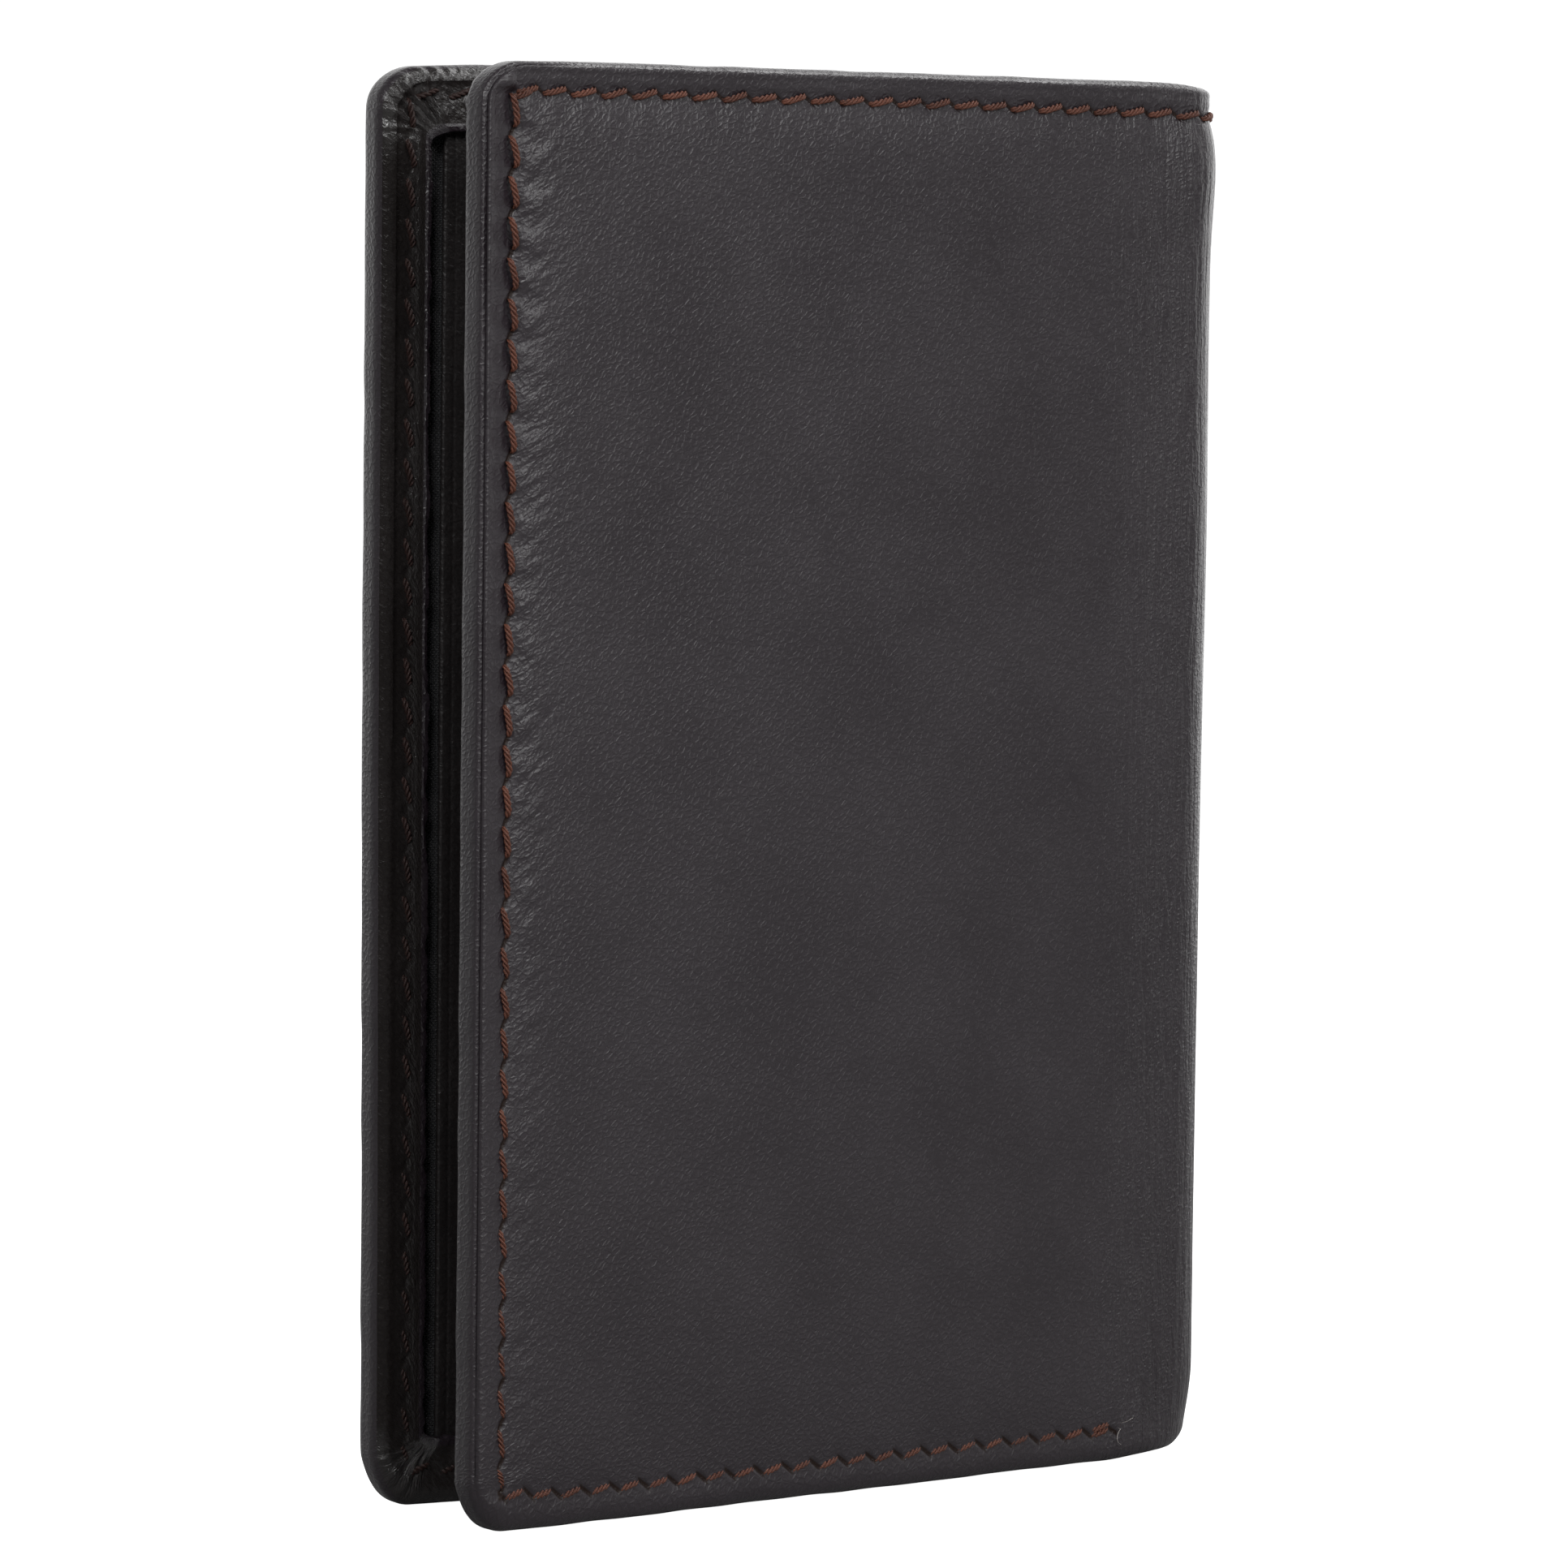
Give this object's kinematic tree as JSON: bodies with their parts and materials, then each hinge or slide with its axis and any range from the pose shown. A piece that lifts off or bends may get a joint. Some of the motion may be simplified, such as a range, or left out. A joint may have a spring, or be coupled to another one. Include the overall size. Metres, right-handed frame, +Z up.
{
  "type": "business card case",
  "caption": "Folding leather case for business cards, standing ajar, with a flexible spine, stitched edges, card slots in the rear cover and a gusseted pocket in the front one.",
  "frame": {"origin": "centre of the bottom of the bounding box as the case stands ajar", "axes": "+Z up along the height, +X towards the spine, +Y towards the rear cover; the two covers lean evenly either side of the XZ plane"},
  "size_m": [0.0698, 0.0164, 0.105],
  "materials": {
    "cover_leather": "fine pebbled calf leather, satin",
    "inner_leather": "smooth thin calf leather, semi-gloss",
    "lining_fabric": "woven lining cloth, matt",
    "stiffener_board": "grey-brown pressed board, matt",
    "reinforcing_tape": "bonded woven tape, matt",
    "thread": "waxed two-ply thread, satin"
  },
  "bodies": {
    "rear_half": {"rear_cover": "cover_leather", "rear_hem": "cover_leather", "rear_board": "stiffener_board", "rear_lining": "lining_fabric", "rear_pocket": "inner_leather", "rear_pocket_edge": "inner_leather", "rear_slot_1": "inner_leather", "rear_slot_1_edge": "inner_leather", "rear_slot_2": "inner_leather", "rear_slot_2_edge": "inner_leather", "rear_slot_stitches": "thread", "rear_outer_stitches": "thread", "rear_inner_stitches": "thread"},
    "spine": {"spine_cover": "cover_leather", "spine_hem": "cover_leather", "spine_tape": "reinforcing_tape", "spine_lining": "lining_fabric", "spine_stitches": "thread"},
    "front_half": {"front_cover": "cover_leather", "front_hem": "cover_leather", "front_board": "stiffener_board", "front_lining": "lining_fabric", "front_facing": "inner_leather", "card_pocket": "inner_leather", "card_pocket_gusset": "inner_leather", "card_pocket_stitches": "thread", "front_outer_stitches": "thread", "front_inner_stitches": "thread"}
  },
  "joints": [
    {"name": "rear_fold", "type": "hinge", "parent": "rear_half", "child": "spine", "pos_m": [0.03365, 0.00309, 0], "axis": [0, 0, 1], "range_deg": [-3.3, 86.7]},
    {"name": "front_fold", "type": "hinge", "parent": "spine", "child": "front_half", "pos_m": [0.03365, -0.00309, 0], "axis": [0, 0, 1], "range_deg": [-3.3, 86.7]}
  ],
  "couplings": [
    {"joint": "front_fold", "follows": "rear_fold", "ratio": 1}
  ]
}
